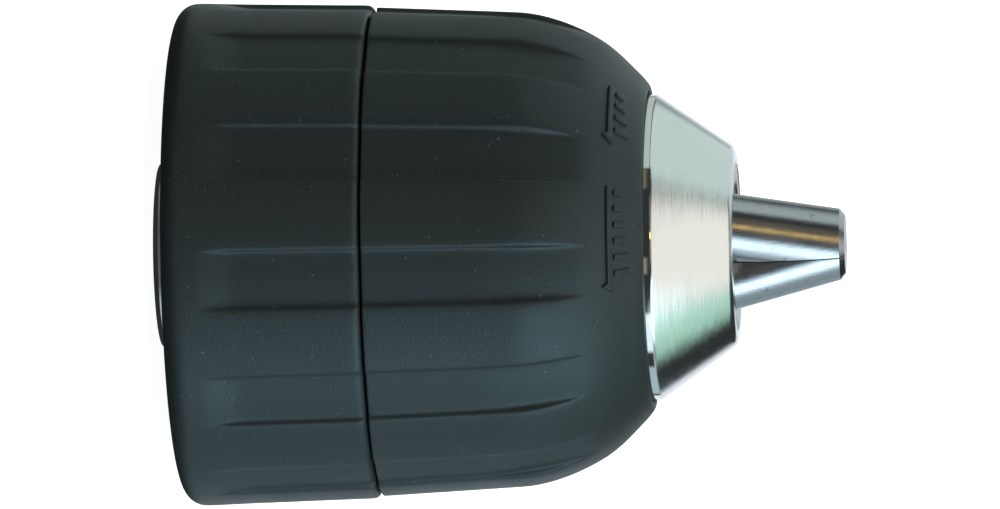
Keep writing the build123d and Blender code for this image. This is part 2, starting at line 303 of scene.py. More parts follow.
HUB_RADIUS = 8.1
NECK = (10.4, 3.4)
FLANGE = (16.5, 12.0, 20.0)  # radius, rear face, front face
PILOT = (13.2, 20.9)
CORE_RADIUS = 9.2
JOURNAL_RADIUS = 11.4
JOURNAL = (31.4, 40.0)
SPIGOT = (7.08, 47.0)
SPIGOT_RECESS = 0.04
TOOL_BORE = (5.4, 17.0)
SCREW_HOLE_RADIUS = 3.25
THREAD_BORE_END = 14.0
SPINDLE_MINOR = 4.25
SPINDLE_MAJOR = 4.76
SPINDLE_PITCH = 25.4 / 24
SPINDLE_FLANK = 0.42
SPINDLE_START = 1.0
SPINDLE_TURNS = 11


# ---------------------------------------------------------------- fluted sleeves

NEAR = 0.004  # how far off a ring, or off an angle in degrees, still counts as on it
NEAR_ANGLE = 0.05


def spin_fluted(piece):
    """Sweeps a sleeve's outline right round, with closer steps at the flutes' walls."""
    land = 360 / FLUTES - FLUTE_FLOOR - 2 * FLUTE_WALL
    bpy.ops.mesh.select_all(action="SELECT")
    for _ in range(FLUTES):
        spin(FLUTE_FLOOR / 2, FLOOR_STEPS // 2)
        spin(FLUTE_WALL, WALL_STEPS)
        spin(land, LAND_STEPS)
        spin(FLUTE_WALL, WALL_STEPS)
        spin(FLUTE_FLOOR / 2, FLOOR_STEPS // 2)
    weld()
    outward_normals()
    leave()
    turn_about_axis(piece, FLUTE_ANGLE)


def from_flute(co):
    """Degrees from the middle of the nearest flute."""
    pitch = 360 / FLUTES
    azimuth = degrees(atan2(co.y, co.x)) - FLUTE_ANGLE
    return abs((azimuth + pitch / 2) % pitch - pitch / 2)


def sink_flutes(piece, inner_limit, floor_radius):
    """Draws each ring of the flutes inwards: fully on the floor, partly on the walls."""
    edit(piece)
    shape = bmesh.from_edit_mesh(piece.data)
    rings = sorted({
        (round(hypot(v.co.x, v.co.y) / MM, 3), round(v.co.z / MM, 3))
        for v in shape.verts
        if hypot(v.co.x, v.co.y) / MM > inner_limit(v.co.z / MM)
    })
    for radius, height in rings:
        depth = radius - floor_radius(radius, height)
        if depth < NEAR:
            continue
        for step in range(WALL_STEPS):
            share = 1 - step / WALL_STEPS
            share = share * share * (3 - 2 * share)
            near = FLUTE_FLOOR / 2 + FLUTE_WALL * step / WALL_STEPS
            low = near - NEAR_ANGLE if step else -1

            def on_ring(co):
                if abs(co.z - height) > NEAR or abs(hypot(co.x, co.y) - radius) > NEAR:
                    return False
                return low < from_flute(co) < near + NEAR_ANGLE

            pick(on_ring)
            factor = 1 - share * depth / radius
            bpy.ops.transform.resize(value=(factor, factor, 1), center_override=(0, 0, 0))
    leave()


def rear_floor(radius, height):
    """The rear sleeve's flute floor: a ramp, then a constant depth."""
    share = min(max((height - RAMP[0]) / (RAMP[1] - RAMP[0]), 0), 1)
    return radius - FLUTE_DEPTH * share


def front_floor(radius, height):
    """The front sleeve's flute floor: straight, then an arc that runs out on the dome."""
    taper = (FRONT_RADIUS - DOME_START[0]) / (DOME_START[1] - FRONT_Z)
    if height <= BEND_Z:
        return radius - FLUTE_DEPTH
    bend = Vector((FRONT_RADIUS - taper * (BEND_Z - FRONT_Z) - FLUTE_DEPTH, BEND_Z))
    outward = Vector((1, taper)).normalized()
    chord = Vector(RUN_OUT) - bend
    arc = -chord.length_squared / (2 * chord.dot(outward))
    middle = bend - outward * arc
    reach = arc * arc - (height - middle.y) ** 2
    floor = middle.x + sqrt(reach) if reach > 0 else radius
    return min(floor, radius)


def make_rear_sleeve():
    """The plastic sleeve that is fixed to the body."""

    def outer(z):
        share = (z - REAR_Z) / (REAR_FRONT_Z - REAR_Z)
        return REAR_RADIUS + (REAR_FRONT_RADIUS - REAR_RADIUS) * share

    recess_inner, recess_outer, recess_depth = FACE_RECESS
    recess_z = REAR_Z + recess_depth
    wall_z = REAR_Z + REAR_WALL
    piece = draw_outline("rear_sleeve_shell", [
        (HUB_RADIUS + HUB_GAP, REAR_Z, 0.25, 2),
        (recess_inner, REAR_Z, 0.12, 2),
        (recess_inner + RECESS_DRAFT, recess_z, 0.12, 2),
        (14.0, recess_z),
        (recess_outer - RECESS_DRAFT, recess_z, 0.12, 2),
        (recess_outer, REAR_Z, 0.12, 2),
        (outer(REAR_Z), REAR_Z, 1.8, 7),
        *((outer(z), z) for z in REAR_HEIGHTS),
        (outer(REAR_FRONT_Z) + 0.02, REAR_FRONT_Z, 0.62, 4),
        (19.4, REAR_FRONT_Z),
        (REAR_BORE, REAR_FRONT_Z, 0.2, 2),
        (REAR_BORE, 12.0),
        (REAR_BORE, 6.5),
        (REAR_BORE, wall_z, 0.6, 3),
        (13.0, wall_z),
        (HUB_RADIUS + HUB_GAP, wall_z, 0.25, 2),
    ])
    spin_fluted(piece)
    sink_flutes(piece, lambda z: REAR_FLUTED, rear_floor)
    smooth_mesh(piece, 1)
    shade(piece, 50)
    return piece


def on_flank(share, lift=0.0):
    """A point of the dome's straight flank: its share of the way up, and its height off it."""
    low, high = Vector(DOME_END), Vector(SHOULDER)
    along = (high - low).normalized()
    return low + (high - low) * share + Vector((along.y, -along.x)) * lift


def make_front_sleeve():
    """The plastic sleeve that the user turns, domed towards the nose."""

    def outer(z):
        taper = (FRONT_RADIUS - DOME_START[0]) / (DOME_START[1] - FRONT_Z)
        return FRONT_RADIUS - taper * (z - FRONT_Z)

    pocket_inner, pocket_outer, pocket_z = POCKET
    collar_radius, collar_z = COLLAR
    journal_bore = JOURNAL_RADIUS + COLLAR_GAP
    piece = draw_outline("front_sleeve_shell", [
        (FRONT_BORE, FRONT_Z, 0.2, 2),
        (19.0, FRONT_Z),
        (outer(FRONT_Z), FRONT_Z, 0.16, 3),
        *((outer(z), z) for z in FRONT_HEIGHTS),
        (*DOME_CORNER, DOME_CUT, 12),
        tuple(on_flank(0.25)),
        tuple(on_flank(0.65)),
        (*SHOULDER, 0.3, 3),
        (SHOULDER[0] - LIP_LAND, SLEEVE_TOP_Z, 0.14, 2),
        (collar_radius, SLEEVE_TOP_Z, 0.12, 2),
        (collar_radius, collar_z, 0.15, 2),
        (journal_bore, collar_z, 0.2, 2),
        (journal_bore, 35.5),
        (journal_bore, FRONT_WEB_Z, 0.2, 2),
        (pocket_inner, FRONT_WEB_Z, 0.15, 2),
        (pocket_inner, pocket_z, 0.5, 3),
        (pocket_outer, pocket_z, 0.5, 3),
        (*POCKET_SHOULDER, 0.4, 2),
        (FRONT_BORE, FRONT_WEB_Z, 0.4, 2),
        (FRONT_BORE, 25.0),
    ])
    spin_fluted(piece)
    sink_flutes(piece, lambda z: FRONT_FLUTED if z < DOME_START[1] - 0.5 else DOME_FLUTED, front_floor)
    smooth_mesh(piece, 1)
    # slots for the nut band's drive lugs, open to the rear
    low, high = FRONT_Z - 1, FRONT_WEB_Z
    slot_inner, slot_outer, slot_breadth = LUG_SLOT
    for number in range(3):
        bpy.ops.object.select_all(action="DESELECT")
        middle = ((slot_inner + slot_outer) / 2 * MM, 0, (low + high) / 2 * MM)
        bpy.ops.mesh.primitive_cube_add(size=1, location=middle)
        cutter = bpy.context.object
        cutter.scale = ((slot_outer - slot_inner) * MM, slot_breadth * MM, (high - low) * MM)
        name_new("lug_slot")
        turn_about_axis(cutter, 60 + 120 * number)
        cut(piece, cutter)
    # stiffening ribs across the pocket ahead of the nut
    for number in range(6):
        bpy.ops.object.select_all(action="DESELECT")
        bpy.ops.mesh.primitive_cube_add(size=1, location=(RIB[0] * MM, 0, RIB[1] * MM))
        rib = bpy.context.object
        rib.scale = [size * MM for size in RIB_SIZE]
        name_new("rib")
        turn_about_axis(rib, 30 + 60 * number)
        cut(piece, rib, "UNION")
    shade(piece, 50)
    return piece


# ---------------------------------------------------------------- turned steel

def make_nose_piece():
    """The conical steel cap ahead of the front sleeve, with a polished rim."""
    return lathe("nose_cone", [
        (NOSE_SEAT[0], NOSE_Z, 0.1, 2),
        (NOSE_RADIUS, NOSE_Z, 0.25, 3),
        (NOSE_RADIUS, NOSE_RIM_Z, 0.14, 4),
        (NOSE_TOP_RADIUS, NOSE_TOP_Z, 0.45, 6),
        (NOSE_BORE, NOSE_TOP_Z, 0.12, 2),
        (NOSE_BORE, NOSE_SHELL[1]),
        NOSE_SHELL,
        NOSE_SEAT,
    ], steps=192)


def jaw_direction():
    slope = radians(JAW_ANGLE)
    return Vector((-sin(slope), 0, cos(slope)))


def jaw_place(distance, height=0.0):
    """A point of the first jaw: its distance behind the apex and height off its axis."""
    slope = radians(JAW_ANGLE)
    apex = Vector((0, 0, JAW_APEX_Z))
    return apex - jaw_direction() * distance + Vector((cos(slope), 0, sin(slope))) * height


def add_rod(name, radius, near, far, sides):
    """A cylinder along the first jaw's axis, between two distances behind the apex."""
    bpy.ops.object.select_all(action="DESELECT")
    middle = jaw_place((near + far) / 2) * MM
    bpy.ops.mesh.primitive_cylinder_add(
        vertices=sides,
        radius=radius * MM,
        depth=(far - near) * MM,
        location=middle,
        rotation=(0, -radians(JAW_ANGLE), 0),
    )
    return name_new(name)


def make_body():
    """The steel body: hub, neck, flange, core and journal, with its bores."""
    neck_radius, neck_z = NECK
    flange_radius, flange_z, flange_top = FLANGE
    pilot_radius, pilot_z = PILOT
    journal_z, journal_top = JOURNAL
    spigot_radius = SPIGOT[0]
    end_z = NOSE_TOP_Z - SPIGOT_RECESS
    tool_radius, web_z = TOOL_BORE
    thread_wall = SPINDLE_MAJOR + 0.02
    piece = lathe("turned_body", [
        (SPINDLE_MINOR + 0.6, 0),
        (HUB_RADIUS, 0, 0.45, 1),
        (HUB_RADIUS, neck_z, 0.15, 2),
        (neck_radius, neck_z, 0.3, 3),
        (neck_radius, flange_z, 0.25, 3),
        (flange_radius, flange_z, 0.5, 3),
        (flange_radius, flange_top, 0.35, 3),
        (pilot_radius, flange_top, 0.1, 2),
        (pilot_radius, pilot_z, 0.2, 2),
        (CORE_RADIUS, pilot_z, 0.3, 3),
        (CORE_RADIUS, journal_z, 0.3, 3),
        (JOURNAL_RADIUS, journal_z, 0.3, 3),
        (JOURNAL_RADIUS, journal_top, 0.15, 2),
        (NOSE_SEAT[0], journal_top),
        (*NOSE_SEAT, 0.2, 2),
        SPIGOT,
        (spigot_radius, end_z, 0.1, 2),
        (tool_radius, end_z, 0.3, 3),
        (tool_radius, web_z, 0.2, 2),
        (SCREW_HOLE_RADIUS, web_z, 0.15, 2),
        (SCREW_HOLE_RADIUS, THREAD_BORE_END, 0.15, 2),
        (thread_wall, THREAD_BORE_END, 0.2, 2),
        (thread_wall, 0.15),
    ], steps=144)
    for number in range(JAWS):
        bore = add_rod("jaw_bore", JAW_RADIUS + JAW_BORE_GAP, -12, JAW_REAR + 20, 96)
        turn_about_axis(bore, 360 / JAWS * number)
        cut(piece, bore)
    shade(piece, 30)
    return piece


def make_spindle_thread():
    """The female thread in the hub: a triangular ridge along a right-hand helix."""
    root = SPINDLE_MAJOR + 0.1
    rise = root - SPINDLE_MINOR
    crest = SPINDLE_PITCH / 2 - SPINDLE_FLANK + 0.02
    bpy.ops.object.select_all(action="DESELECT")
    bpy.ops.mesh.primitive_plane_add(size=MM, location=(root * MM, 0, SPINDLE_START * MM))
    piece = name_new("spindle_thread_ridge")
    start_point(piece)
    for step in ((-rise, SPINDLE_FLANK), (0, crest), (rise, SPINDLE_FLANK)):
        move = (step[0] * MM, 0, step[1] * MM)
        bpy.ops.mesh.extrude_region_move(TRANSFORM_OT_translate={"value": move})
    bpy.ops.mesh.select_all(action="SELECT")
    bpy.ops.mesh.edge_face_add()
    bpy.ops.mesh.delete(type="ONLY_FACE")
    leave()
    finish_with(
        piece, "SCREW", axis="Z", angle=2 * pi, screw_offset=SPINDLE_PITCH * MM,
        iterations=SPINDLE_TURNS, steps=64, render_steps=64, use_merge_vertices=False,
    )
    edit(piece)
    bpy.ops.mesh.select_mode(type="EDGE")
    bpy.ops.mesh.select_all(action="DESELECT")
    bpy.ops.mesh.select_non_manifold()
    bpy.ops.mesh.edge_face_add()
    outward_normals()
    leave()
    shade(piece, 30)
    return piece


# ---------------------------------------------------------------- jaws

def slice_off(place, normal):
    """Cuts the piece in edit mode along a plane, drops the side the normal points to, and closes it."""
    bpy.ops.mesh.select_all(action="SELECT")
    bpy.ops.mesh.bisect(
        plane_co=place * MM, plane_no=normal, use_fill=True, clear_outer=True, threshold=0.0001 * MM,
    )


def make_jaw(index):
    """A jaw: a ground rod with two gripping faces, a narrow edge and thread grooves."""
    piece = add_rod(f"ground_jaw_{index + 1}", JAW_RADIUS, -3, JAW_REAR, 96)
    edit(piece)
    slice_off(Vector((0, 0, JAW_TIP_Z)), Vector((0, 0, 1)))
    pick(lambda co: abs(co.z - JAW_TIP_Z) < 0.01, "EDGE")
    bpy.ops.mesh.bevel(offset=JAW_TIP_CHAMFER * MM, segments=1, affect="EDGES")
    for side in (1, -1):
        normal = Vector((-sin(radians(GRIP_ANGLE)), side * cos(radians(GRIP_ANGLE)), 0))
        slice_off(normal * -JAW_FACE_GAP, normal)
    slice_off(Vector((JAW_EDGE, 0, 0)), Vector((-1, 0, 0)))
    weld()
    outward_normals()
    leave()
    finish_with(piece, "BEVEL", width=0.22 * MM, segments=4, limit_method="ANGLE", angle_limit=radians(50))
    # grooves of the jaw thread, on the side away from the chuck's axis
    first = FIRST_GROOVE + THREAD_PITCH * index / JAWS
    count = int((THREAD_REACH - first) / THREAD_PITCH) + 1
    bpy.ops.object.select_all(action="DESELECT")
    bpy.ops.mesh.primitive_cube_add(size=1)
    groove = bpy.context.object
    groove.scale = (GROOVE_DEPTH * MM, GROOVE_LENGTH * MM, GROOVE_FLOOR * MM)
    name_new("groove")
    edit(groove)
    pick(lambda co: co.x > 0)
    bpy.ops.transform.resize(value=(1, 1, GROOVE_FLARE))
    leave()
    finish_with(
        groove, "ARRAY", count=count, use_relative_offset=False, use_constant_offset=True,
        constant_offset_displace=(0, 0, THREAD_PITCH * MM),
    )
    groove.matrix_world = (
        Matrix.Translation(jaw_place(JAW_REAR - first, JAW_RADIUS) * MM)
        @ Matrix.Rotation(-radians(JAW_ANGLE), 4, "Y")
    )
    select_only(groove)
    bpy.ops.object.transform_apply(location=True, rotation=True, scale=True)
    cut(piece, groove)
    turn_about_axis(piece, 360 / JAWS * index)
    shade(piece, 30)
    finish_with(piece, "WEIGHTED_NORMAL", keep_sharp=True)
    return piece


# ---------------------------------------------------------------- moulded marks

MARK_SINK = 0.2
MARK_LIFT = 0.17
MARK_BREADTH = 0.5
MARK_SOFTNESS = 0.08
ARROW_SHARE = 0.02  # how far up the dome's flank an arrow's line lies
HEAD_SIZE = 1.5
STROKE_SHARE = 0.2
STROKE_LENGTH = 0.9
STROKE_GROWTH = 1.0
STROKE_RUN = 6.2  # about twice the flank, so that the strokes grow from one foot line
# An arrow: its name, where it starts, its span in degrees, its strokes.
ARROWS = (("long", -12.0, 29.0, 6), ("short", -48.0, 20.0, 4))


def round_over(piece):
    finish_with(piece, "BEVEL", width=MARK_SOFTNESS * MM, segments=2, limit_method="ANGLE",
                angle_limit=radians(40))
    shade(piece, 30)
    return piece


def make_arc_mark(name, share, azimuth, span):
    """A raised line that runs round the dome."""
    low, high = on_flank(share, -MARK_SINK), on_flank(share, MARK_LIFT)
    slope = (Vector(SHOULDER) - Vector(DOME_END)).normalized() * MARK_BREADTH / 2
    corners = [low - slope, high - slope, high + slope, low + slope]
    piece = draw_outline(name, [tuple(c) for c in corners])
    bpy.ops.mesh.select_all(action="SELECT")
    bpy.ops.mesh.edge_face_add()
    spin(span, 16)
    # the outline's own face closes the near end; the far end is closed here
    bpy.ops.mesh.select_all(action="DESELECT")
    bpy.ops.mesh.select_mode(type="EDGE")
    bpy.ops.mesh.select_non_manifold()
    bpy.ops.mesh.edge_face_add()
    outward_normals()
    leave()
    turn_about_axis(piece, azimuth + span - 90)
    return round_over(piece)


def make_flat_mark(name, sides, share, azimuth, length, breadth, turn=0.0):
    """A raised stroke or arrowhead, standing square to the dome's flank."""
    bpy.ops.object.select_all(action="DESELECT")
    thickness = MARK_SINK + MARK_LIFT
    if sides == 4:
        bpy.ops.mesh.primitive_cube_add(size=1)
    else:
        bpy.ops.mesh.primitive_cylinder_add(vertices=sides, radius=0.5, depth=1)
    mark = bpy.context.object
    mark.scale = (length * MM, breadth * MM, thickness * MM)
    mark.rotation_euler = (0, 0, radians(turn))
    piece = name_new(name)
    slope = Vector(SHOULDER) - Vector(DOME_END)
    middle = on_flank(share, (MARK_LIFT - MARK_SINK) / 2)
    tilt = atan2(slope.x, slope.y) - pi / 2
    piece.matrix_world = (
        Matrix.Translation(Vector((middle.x, 0, middle.y)) * MM) @ Matrix.Rotation(tilt, 4, "Y")
    )
    select_only(piece)
    bpy.ops.object.transform_apply(location=True, rotation=True, scale=True)
    turn_about_axis(piece, azimuth - 90)
    return round_over(piece)


def make_turn_marks():
    """Two raised arrows that run round the dome, each with strokes that grow towards its head."""
    pieces = []
    for name, start, span, strokes in ARROWS:
        pieces.append(make_arc_mark(f"{name}_arrow", ARROW_SHARE, start, span))
        pieces.append(make_flat_mark(f"{name}_head", 3, ARROW_SHARE, start + span, HEAD_SIZE, HEAD_SIZE, 90))
        for number in range(strokes):
            length = STROKE_LENGTH + STROKE_GROWTH * number / strokes
            azimuth = start + span * (number + 0.3) / strokes
            share = STROKE_SHARE + length / STROKE_RUN
            pieces.append(make_flat_mark(f"{name}_stroke", 4, share, azimuth, length, MARK_BREADTH))
    return join(pieces, "turn_direction_marks")


# ---------------------------------------------------------------- materials

def new_group(name, inputs, outputs):
    """A shader node group with named sockets; a socket is (name, kind, default)."""
    group = bpy.data.node_groups.new(name, "ShaderNodeTree")
    for side, sockets in (("INPUT", inputs), ("OUTPUT", outputs)):
        for label, kind, *default in sockets:
            socket = group.interface.new_socket(label, in_out=side, socket_type=f"NodeSocket{kind}")
            if default:
                socket.default_value = default[0]
    entry = group.nodes.new("NodeGroupInput")
    leaving = group.nodes.new("NodeGroupOutput")
    return group, entry, leaving


def add_node(tree, kind, links=(), **values):
    """Adds a node, sets its values by attribute or by input name, and links its inputs."""
    node = tree.nodes.new(f"ShaderNode{kind}")
    for key, value in values.items():
        if hasattr(node, key):
            setattr(node, key, value)
        else:
            node.inputs[key.replace("_", " ")].default_value = value
    for target, source in dict(links).items():
        tree.links.new(source, node.inputs[target])
    return node


def do_math(tree, operation, first, second=None, third=None, clamp=False):
    node = tree.nodes.new("ShaderNodeMath")
    node.operation = operation
    node.use_clamp = clamp
    for socket, value in zip(node.inputs, (first, second, third)):
        if value is None:
            continue
        if isinstance(value, (int, float)):
            socket.default_value = value
        else:
            tree.links.new(value, socket)
    return node.outputs[0]


def mix_colour(tree, share, first, second):
    node = tree.nodes.new("ShaderNodeMix")
    node.data_type = "RGBA"
    for index, value in ((0, share), (6, first), (7, second)):
        socket = node.inputs[index]
        if isinstance(value, (int, float)):
            socket.default_value = value
        elif isinstance(value, tuple):
            socket.default_value = (*value, 1)
        else:
            tree.links.new(value, socket)
    return node.outputs[2]


def build_grain_group():
    """Fine moulded grain: soft bumps, slight tone changes and sparse pale specks."""
    group, entry, leaving = new_group(
        "moulded_grain",
        [("Colour", "Color"), ("Grain per Metre", "Float", 5200.0), ("Depth", "Float", 0.5),
         ("Roughness", "Float", 0.5), ("Specks", "Float", 0.5)],
        [("Colour", "Color"), ("Roughness", "Float"), ("Normal", "Vector")],
    )
    place = add_node(group, "TexCoord").outputs["Object"]
    grain = add_node(group, "TexNoise", {"Vector": place, "Scale": entry.outputs["Grain per Metre"]},
                     Detail=3.0, Roughness=0.6)
    cloud = add_node(group, "TexNoise", {"Vector": place}, Scale=160.0, Detail=4.0, Roughness=0.55)
    fleck = add_node(group, "TexNoise", {"Vector": place}, Scale=3900.0, Detail=0.0)
    patch = add_node(group, "TexNoise", {"Vector": place}, Scale=420.0, Detail=2.0)
    flecks = do_math(group, "SUBTRACT", fleck.outputs["Fac"], 0.805)
    flecks = do_math(group, "MULTIPLY", flecks, 18.0, clamp=True)
    patches = do_math(group, "GREATER_THAN", patch.outputs["Fac"], 0.52)
    flecks = do_math(group, "MULTIPLY", flecks, patches)
    flecks = do_math(group, "MULTIPLY", flecks, entry.outputs["Specks"])
    lighter = mix_colour(group, 0.35, entry.outputs["Colour"], (0.10, 0.11, 0.12))
    tone = do_math(group, "MULTIPLY_ADD", grain.outputs["Fac"], 0.9, -0.25, clamp=True)
    shaded = mix_colour(group, tone, entry.outputs["Colour"], lighter)
    speckled = mix_colour(group, flecks, shaded, (0.42, 0.43, 0.42))
    rough = do_math(group, "MULTIPLY_ADD", cloud.outputs["Fac"], 0.16, -0.08)
    rough = do_math(group, "ADD", rough, entry.outputs["Roughness"])
    fine = do_math(group, "MULTIPLY_ADD", grain.outputs["Fac"], 0.10, -0.05)
    rough = do_math(group, "ADD", rough, fine, clamp=True)
    bump = add_node(group, "Bump", {"Height": grain.outputs["Fac"], "Strength": entry.outputs["Depth"]},
                    Distance=0.00004)
    group.links.new(speckled, leaving.inputs["Colour"])
    group.links.new(rough, leaving.inputs["Roughness"])
    group.links.new(bump.outputs["Normal"], leaving.inputs["Normal"])
    return group


POLISHED_ROUGHNESS = 0.07


def build_turned_group():
    """Turned steel: fine rings about the axis, with faint smears of tone and gloss."""
    group, entry, leaving = new_group(
        "turned_steel",
        [("Colour", "Color"), ("Rings per Metre", "Float", 9000.0), ("Depth", "Float", 0.4),
         ("Roughness", "Float", 0.28), ("Stain", "Float", 0.3), ("Polished Below", "Float", -1.0)],
        [("Colour", "Color"), ("Roughness", "Float"), ("Normal", "Vector")],
    )
    place = add_node(group, "TexCoord").outputs["Object"]
    split = add_node(group, "SeparateXYZ", {"Vector": place})
    radial = add_node(group, "VectorMath", {0: place}, operation="MULTIPLY")
    radial.inputs[1].default_value = (1, 1, 0)
    radius = add_node(group, "VectorMath", {0: radial.outputs[0]}, operation="LENGTH").outputs["Value"]
    along = do_math(group, "SUBTRACT", split.outputs["Z"], radius)
    ring_place = add_node(group, "CombineXYZ", {"Z": along})
    rings = add_node(
        group, "TexNoise", {"Vector": ring_place.outputs[0], "Scale": entry.outputs["Rings per Metre"]},
        Detail=4.0, Roughness=0.7,
    )
    smear = add_node(group, "TexNoise", {"Vector": place}, Scale=260.0, Detail=5.0, Roughness=0.6)
    stain = add_node(group, "TexNoise", {"Vector": place}, Scale=90.0, Detail=6.0, Roughness=0.65)
    stains = do_math(group, "SUBTRACT", stain.outputs["Fac"], 0.52)
    stains = do_math(group, "MULTIPLY", stains, 4.0, clamp=True)
    stains = do_math(group, "MULTIPLY", stains, entry.outputs["Stain"])
    darker = mix_colour(group, 0.5, entry.outputs["Colour"], (0.12, 0.115, 0.11))
    toned = mix_colour(group, stains, entry.outputs["Colour"], darker)
    lined = mix_colour(group, do_math(group, "MULTIPLY", rings.outputs["Fac"], 0.22), toned, darker)
    rough = do_math(group, "MULTIPLY_ADD", rings.outputs["Fac"], 0.14, -0.07)
    rough = do_math(group, "ADD", rough, entry.outputs["Roughness"])
    soft = do_math(group, "MULTIPLY_ADD", smear.outputs["Fac"], 0.12, -0.06)
    rough = do_math(group, "ADD", rough, soft, clamp=True)
    turned_part = do_math(group, "GREATER_THAN", split.outputs["Z"], entry.outputs["Polished Below"])
    rough = do_math(group, "SUBTRACT", rough, POLISHED_ROUGHNESS)
    rough = do_math(group, "MULTIPLY_ADD", rough, turned_part, POLISHED_ROUGHNESS)
    depth = do_math(group, "MULTIPLY", entry.outputs["Depth"], turned_part)
    bump = add_node(group, "Bump", {"Height": rings.outputs["Fac"], "Strength": depth}, Distance=0.00003)
    group.links.new(lined, leaving.inputs["Colour"])
    group.links.new(rough, leaving.inputs["Roughness"])
    group.links.new(bump.outputs["Normal"], leaving.inputs["Normal"])
    return group


def build_ground_group():
    """Ground or hardened steel: short fine scratches and small spots."""
    group, entry, leaving = new_group(
        "ground_steel",
        [("Colour", "Color"), ("Stretch", "Vector", (1.0, 1.0, 0.12)), ("Depth", "Float", 0.3),
         ("Roughness", "Float", 0.3), ("Spots", "Float", 0.3)],
        [("Colour", "Color"), ("Roughness", "Float"), ("Normal", "Vector")],
    )
    place = add_node(group, "TexCoord").outputs["Object"]
    stretched = add_node(
        group, "VectorMath", {0: place, 1: entry.outputs["Stretch"]}, operation="MULTIPLY")
    scratch = add_node(
        group, "TexNoise", {"Vector": stretched.outputs[0]}, Scale=7000.0, Detail=4.0, Roughness=0.65)
    spot = add_node(group, "TexNoise", {"Vector": place}, Scale=1100.0, Detail=2.0)
    cloud = add_node(group, "TexNoise", {"Vector": place}, Scale=240.0, Detail=4.0)
    spots = do_math(group, "SUBTRACT", spot.outputs["Fac"], 0.66)
    spots = do_math(group, "MULTIPLY", spots, 12.0, clamp=True)
    spots = do_math(group, "MULTIPLY", spots, entry.outputs["Spots"])
    darker = mix_colour(group, 0.6, entry.outputs["Colour"], (0.07, 0.07, 0.075))
    lined = mix_colour(group, do_math(group, "MULTIPLY", scratch.outputs["Fac"], 0.3),
                       entry.outputs["Colour"], darker)
    spotted = mix_colour(group, spots, lined, darker)
    rough = do_math(group, "MULTIPLY_ADD", scratch.outputs["Fac"], 0.16, -0.08)
    rough = do_math(group, "ADD", rough, entry.outputs["Roughness"])
    soft = do_math(group, "MULTIPLY_ADD", cloud.outputs["Fac"], 0.14, -0.07)
    rough = do_math(group, "ADD", rough, soft, clamp=True)
    bump = add_node(group, "Bump", {"Height": scratch.outputs["Fac"], "Strength": entry.outputs["Depth"]},
                    Distance=0.00002)
    group.links.new(spotted, leaving.inputs["Colour"])
    group.links.new(rough, leaving.inputs["Roughness"])
    group.links.new(bump.outputs["Normal"], leaving.inputs["Normal"])
    return group


def finish_material(name, group, metallic, shader_values=(), **values):
    """A Principled material whose colour, roughness and normal come from a group."""
    material = bpy.data.materials.new(name)
    material.use_nodes = True
    tree = material.node_tree
    shader = tree.nodes["Principled BSDF"]
    source = tree.nodes.new("ShaderNodeGroup")
    source.node_tree = group
    for key, value in values.items():
        source.inputs[key.replace("_", " ")].default_value = value
    tree.links.new(source.outputs["Colour"], shader.inputs["Base Color"])
    tree.links.new(source.outputs["Roughness"], shader.inputs["Roughness"])
    tree.links.new(source.outputs["Normal"], shader.inputs["Normal"])
    shader.inputs["Metallic"].default_value = metallic
    for key, value in dict(shader_values).items():
        shader.inputs[key].default_value = value
    return material


grain = build_grain_group()
turned = build_turned_group()
ground = build_ground_group()

sleeve_plastic = finish_material(
    "charcoal_moulded_plastic", grain, 0.0,
    {"Specular IOR Level": 0.55, "Specular Tint": (0.66, 0.92, 1.0, 1)},
    Colour=(0.028, 0.031, 0.030, 1), Depth=1.0, Roughness=0.45, Specks=0.32,
)
nose_steel = finish_material(
    "bright_turned_steel", turned, 1.0, {"Anisotropic": 0.9, "Anisotropic Rotation": 0.25},
    Colour=(0.88, 0.88, 0.86, 1), Depth=0.55, Roughness=0.12, Stain=0.4,
)
body_steel = finish_material(
    "oiled_turned_steel", turned, 1.0, {},
    Colour=(0.66, 0.67, 0.65, 1), Depth=0.5, Roughness=0.30, Stain=0.6,
)
jaw_steel = finish_material(
    "ground_jaw_steel", ground, 1.0, {},
    Colour=(0.55, 0.55, 0.57, 1), Depth=0.5, Roughness=0.22, Spots=0.6,
)
nut_steel = finish_material(
    "dark_hardened_steel", ground, 1.0, {},
    Colour=(0.30, 0.30, 0.31, 1), Depth=0.5, Roughness=0.42, Spots=0.6,
)
bearing_steel = finish_material(
    "polished_bearing_steel", ground, 1.0, {},
    Colour=(0.75, 0.76, 0.78, 1), Depth=0.08, Roughness=0.14, Spots=0.1,
)
cage_plastic = finish_material(
    "natural_nylon", grain, 0.0, {},
    Colour=(0.72, 0.68, 0.56, 1), Depth=0.3, Roughness=0.45, Specks=0.1,
)


# the nose is turned above its rim and polished below, and its gloss runs round the axis
nose_tree = nose_steel.node_tree
nose_tree.nodes["Group"].inputs["Polished Below"].default_value = NOSE_RIM_Z * MM
around = add_node(nose_tree, "Tangent", direction_type="RADIAL", axis="Z")
nose_tree.links.new(around.outputs[0], nose_tree.nodes["Principled BSDF"].inputs["Tangent"])


# ---------------------------------------------------------------- assembly

settle(make_rear_sleeve(), "chuck_body", sleeve_plastic, "sleeve_plastic", "rear_sleeve")
settle(make_front_sleeve(), "front_sleeve", sleeve_plastic, "sleeve_plastic", "front_sleeve")
settle(make_turn_marks(), "front_sleeve", sleeve_plastic, "sleeve_plastic")
settle(make_nose_piece(), "chuck_body", nose_steel, "nose_steel", "nose_piece")
settle(make_body(), "chuck_body", body_steel, "body_steel", "chuck_body")
settle(make_spindle_thread(), "chuck_body", body_steel, "body_steel")
for number in range(JAWS):
    jaw_name = f"jaw_{number + 1}"
    settle(make_jaw(number), jaw_name, jaw_steel, "jaw_steel", jaw_name)

